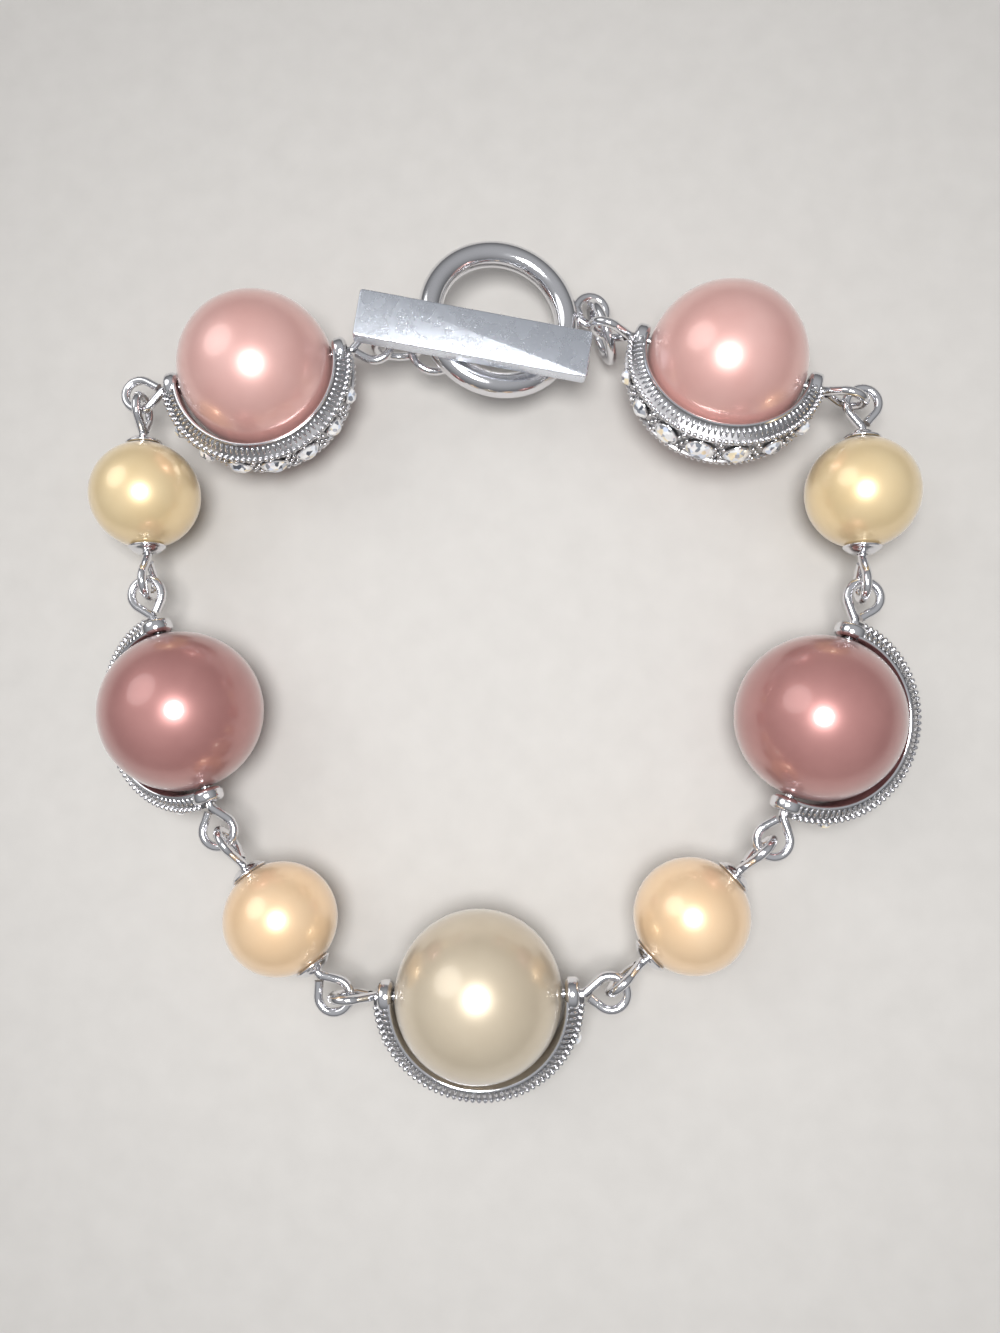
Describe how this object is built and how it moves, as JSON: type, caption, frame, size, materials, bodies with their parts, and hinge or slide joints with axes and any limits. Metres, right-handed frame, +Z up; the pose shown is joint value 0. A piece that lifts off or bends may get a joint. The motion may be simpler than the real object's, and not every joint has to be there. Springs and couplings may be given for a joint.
{
  "type": "pearl bracelet",
  "caption": "Bracelet of large and small pearls on looped wire pins, each large pearl half ringed by a crystal-set silver hoop, closed with a ring and bar toggle.",
  "frame": {"origin": "middle of the closed bracelet's bounding box, on the surface that it lies on", "axes": "+Z up from that surface, +Y towards the toggle clasp, +X to the right seen from above"},
  "size_m": [0.0744, 0.077, 0.0142],
  "materials": {
    "pearl_pink": "pearl lacquer over a glass core, soft gloss",
    "pearl_mauve": "pearl lacquer over a glass core, soft gloss",
    "pearl_champagne": "pearl lacquer over a glass core, soft gloss",
    "pearl_cream": "pearl lacquer over a glass core, soft gloss",
    "pearl_peach": "pearl lacquer over a glass core, soft gloss",
    "silver": "bright silver plate, lightly scuffed",
    "silver_crystal": "bright silver plate, darkened in the ribs, set with clear crystals"
  },
  "bodies": {
    "chain": {"bar_link_1": "silver", "bar_link_2": "silver", "bar_link_3": "silver", "bead_cap_lower_left_far": "silver", "bead_cap_lower_left_near": "silver", "bead_cap_lower_right_far": "silver", "bead_cap_lower_right_near": "silver", "bead_cap_upper_left_far": "silver", "bead_cap_upper_left_near": "silver", "bead_cap_upper_right_far": "silver", "bead_cap_upper_right_near": "silver", "eye_pin_bottom": "silver", "eye_pin_left": "silver", "eye_pin_lower_left": "silver", "eye_pin_lower_right": "silver", "eye_pin_right": "silver", "eye_pin_top_left": "silver", "eye_pin_top_right": "silver", "eye_pin_upper_left": "silver", "eye_pin_upper_right": "silver", "jump_ring": "silver", "pearl_bottom": "pearl_champagne", "pearl_left": "pearl_mauve", "pearl_lower_left": "pearl_peach", "pearl_lower_right": "pearl_peach", "pearl_right": "pearl_mauve", "pearl_top_left": "pearl_pink", "pearl_top_right": "pearl_pink", "pearl_upper_left": "pearl_cream", "pearl_upper_right": "pearl_cream", "toggle_bar": "silver", "toggle_ring": "silver"},
    "bottom_hoop": {"crescent_bottom": "silver_crystal"},
    "left_hoop": {"crescent_left": "silver_crystal"},
    "right_hoop": {"crescent_right": "silver_crystal"},
    "top_left_hoop": {"crescent_top_left": "silver_crystal"},
    "top_right_hoop": {"crescent_top_right": "silver_crystal"}
  },
  "joints": [
    {"name": "bottom_hoop_swing", "type": "hinge", "parent": "chain", "child": "bottom_hoop", "pos_m": [-0.00137, -0.02946, 0.0071], "axis": [0.9996, 0.0279, 0], "continuous": true},
    {"name": "left_hoop_swing", "type": "hinge", "parent": "chain", "child": "left_hoop", "pos_m": [-0.02793, -0.0053, 0.0071], "axis": [-0.3257, 0.9455, 0], "continuous": true},
    {"name": "right_hoop_swing", "type": "hinge", "parent": "chain", "child": "right_hoop", "pos_m": [0.02775, -0.00608, 0.0071], "axis": [0.3715, 0.9285, 0], "continuous": true},
    {"name": "top_left_hoop_swing", "type": "hinge", "parent": "chain", "child": "top_left_hoop", "pos_m": [-0.02196, 0.02607, 0.0071], "axis": [0.9823, 0.1875, 0], "continuous": true},
    {"name": "top_right_hoop_swing", "type": "hinge", "parent": "chain", "child": "top_right_hoop", "pos_m": [0.02069, 0.0256, 0.0071], "axis": [-0.9499, 0.3124, 0], "continuous": true}
  ]
}
